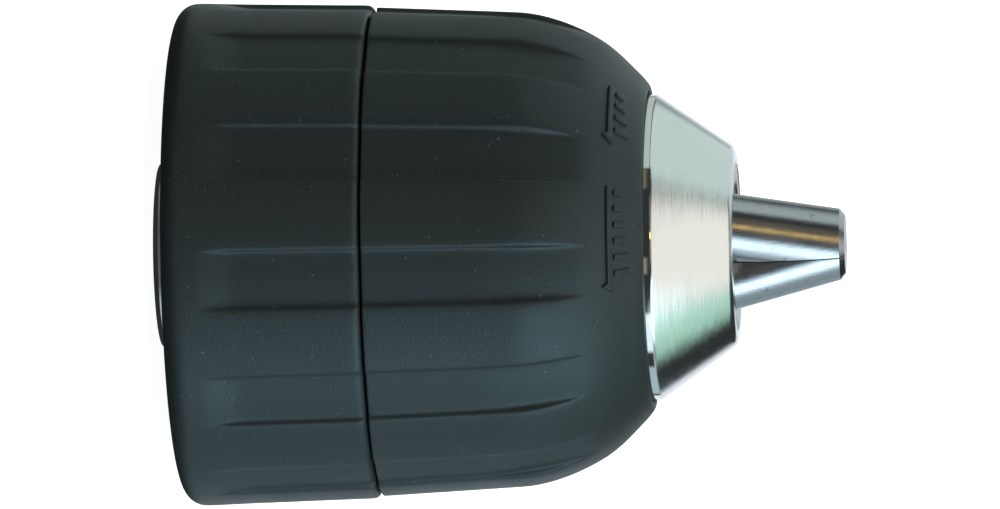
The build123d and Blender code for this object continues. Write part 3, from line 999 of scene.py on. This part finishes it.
for node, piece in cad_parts.items():
    if piece.hide_render:
        continue
    if node.startswith("bearing_ball") or node.endswith("race"):
        finish = bearing_steel
    elif node == "ball_cage":
        finish = cage_plastic
    elif node.startswith("nut"):
        finish = nut_steel
    else:
        finish = body_steel
    piece.data.materials.clear()
    piece.data.materials.append(finish)


# ---------------------------------------------------------------- floor, light and camera

CAMERA_AZIMUTH = 6.0
CAMERA_ELEVATION = 4.14
CAMERA_DISTANCE = 1096.0
CAMERA_ROLL = 0.95
VIEW_WIDTH = 84.3
AIM_Z = 28.63
AIM_DROP = 0.41


def towards(azimuth, elevation):
    """The direction from the chuck to a place round it, azimuth 0 being -Y."""
    a, e = radians(azimuth), radians(elevation)
    return Vector((sin(a) * cos(e), -cos(a) * cos(e), sin(e)))


def aim(item, place, target, up):
    """Puts a camera or light at a place, facing a target, with its top edge towards up."""
    back = (place - target).normalized()
    right = up.cross(back).normalized()
    top = back.cross(right)
    turn = Matrix((right, top, back)).transposed().to_4x4()
    item.matrix_world = Matrix.Translation(place * MM) @ turn


def add_camera():
    data = bpy.data.cameras.new("camera")
    camera = bpy.data.objects.new("camera", data)
    bpy.context.scene.collection.objects.link(camera)
    back = towards(CAMERA_AZIMUTH, CAMERA_ELEVATION)
    side = Vector((0, 0, 1)) - back * back.z
    side.normalize()
    top = back.cross(side)
    roll = radians(CAMERA_ROLL)
    up = top * cos(roll) + side * sin(roll)
    target = Vector((0, 0, AIM_Z)) - top * AIM_DROP
    data.sensor_width = 36.0
    data.lens = data.sensor_width * CAMERA_DISTANCE / VIEW_WIDTH
    data.clip_end = 20
    aim(camera, target + back * CAMERA_DISTANCE, target, up)
    bpy.context.scene.camera = camera


# Upright screens round the chuck: azimuth, half width, lower and upper edge, softness, colour.
SCREENS = (
    (-117, 58, 13, 62, 3, (0.60, 0.72, 0.71)),
    (-168, 18, -12, 13, 4, (0.36, 0.42, 0.43)),
    (-103, 47, -7, 6, 1.2, (0.50, 0.58, 0.56)),
    (-47, 8, -8, -1, 1.5, (0.20, 0.20, 0.12)),
    (20, 6, -8, -1, 1.5, (0.38, 0.32, 0.28)),
    (0, 60, -42, -12, 3, (0.34, 0.37, 0.36)),
    (101, 20, 30, 62, 1.2, (0.46, 0.80, 0.66)),
    (75, 17, -20, 6, 3, (0.90, 1.10, 1.20)),
    (131, 22, -25, 14, 3, (0.40, 0.54, 0.58)),
    (96, 20, 3, 20, 4, (0.42, 0.53, 0.57)),
    (180, 22, -10, 14, 1.5, (0.82, 0.88, 0.96)),
    (-8, 26, 8, 34, 4, (0.16, 0.15, 0.12)),
    (-3, 2.2, 14, 34, 1.0, (2.80, 1.90, 0.60)),
)
# Round lamps: azimuth, elevation, inner and outer spread, colour.
LAMPS = (
    (59, 27, 10, 30, (2.40, 3.15, 3.50)),
    (15, 70, 30, 33, (0.96, 0.97, 0.92)),
)
ROOM_LIGHT = (0.030, 0.035, 0.037)


def soft_step(tree, value, low, high):
    """A mask that rises smoothly from 0 to 1 between two values."""
    step = add_node(tree, "MapRange", {"Value": value}, interpolation_type="SMOOTHSTEP")
    step.inputs["From Min"].default_value = low
    step.inputs["From Max"].default_value = high
    return step.outputs["Result"]


def facing(tree, direction, azimuth, elevation):
    """How nearly a direction points towards a place round the chuck, as a cosine."""
    dot = add_node(tree, "VectorMath", {0: direction}, operation="DOT_PRODUCT")
    dot.inputs[1].default_value = towards(azimuth, elevation)
    return dot.outputs["Value"]


def add_world():
    """A white backdrop for the camera, and soft screens and lamps in a dim room for the light."""
    world = bpy.data.worlds.new("studio")
    bpy.context.scene.world = world
    world.use_nodes = True
    tree = world.node_tree
    tree.nodes.clear()
    direction = add_node(tree, "TexCoord").outputs["Generated"]
    height = add_node(tree, "SeparateXYZ", {"Vector": direction}).outputs["Z"]
    flat = add_node(tree, "VectorMath", {0: direction}, operation="MULTIPLY")
    flat.inputs[1].default_value = (1, 1, 0)
    level = add_node(tree, "VectorMath", {0: flat.outputs[0]}, operation="NORMALIZE").outputs[0]
    light = add_node(tree, "RGB").outputs[0]
    light.default_value = (*ROOM_LIGHT, 1)
    for azimuth, half_width, low, high, soft, colour in SCREENS:
        across = soft_step(
            tree, facing(tree, level, azimuth, 0),
            cos(radians(half_width + soft)), cos(radians(max(half_width - soft, 0))),
        )
        above = soft_step(tree, height, sin(radians(low - soft)), sin(radians(low + soft)))
        below = soft_step(tree, height, sin(radians(high + soft)), sin(radians(high - soft)))
        mask = do_math(tree, "MULTIPLY", across, do_math(tree, "MULTIPLY", above, below))
        light = mix_colour(tree, mask, light, colour)
    for azimuth, elevation, inner, outer, colour in LAMPS:
        mask = soft_step(
            tree, facing(tree, direction, azimuth, elevation), cos(radians(outer)), cos(radians(inner)))
        light = mix_colour(tree, mask, light, colour)
    seen = add_node(tree, "Background", Color=(1, 1, 1, 1))
    room = add_node(tree, "Background", {"Color": light})
    path = add_node(tree, "LightPath")
    mixed = add_node(
        tree, "MixShader", {0: path.outputs["Is Camera Ray"], 1: room.outputs[0], 2: seen.outputs[0]})
    add_node(tree, "OutputWorld", {"Surface": mixed.outputs[0]})


def add_floor():
    bpy.ops.object.select_all(action="DESELECT")
    bpy.ops.mesh.primitive_circle_add(vertices=96, radius=6, fill_type="NGON", location=(0, 0, 0))
    floor = name_new("studio_floor")
    material = bpy.data.materials.new("pale_floor")
    material.use_nodes = True
    tree = material.node_tree
    shader = tree.nodes["Principled BSDF"]
    shader.inputs["Base Color"].default_value = (0.8, 0.8, 0.8, 1)
    shader.inputs["Roughness"].default_value = 0.8
    shader.inputs["Emission Color"].default_value = (1, 1, 1, 1)
    shader.inputs["Emission Strength"].default_value = 0.96
    # clear from below, so that the chuck's rear face can be seen
    below = add_node(tree, "NewGeometry").outputs["Backfacing"]
    clear = add_node(tree, "BsdfTransparent")
    mixed = add_node(tree, "MixShader", {0: below, 1: shader.outputs[0], 2: clear.outputs[0]})
    tree.links.new(mixed.outputs[0], tree.nodes["Material Output"].inputs["Surface"])
    floor.data.materials.append(material)
    floor.visible_glossy = False
    floor.visible_diffuse = False
    floor.visible_shadow = False


add_world()
add_floor()
add_camera()
bpy.context.scene.view_settings.view_transform = "Standard"
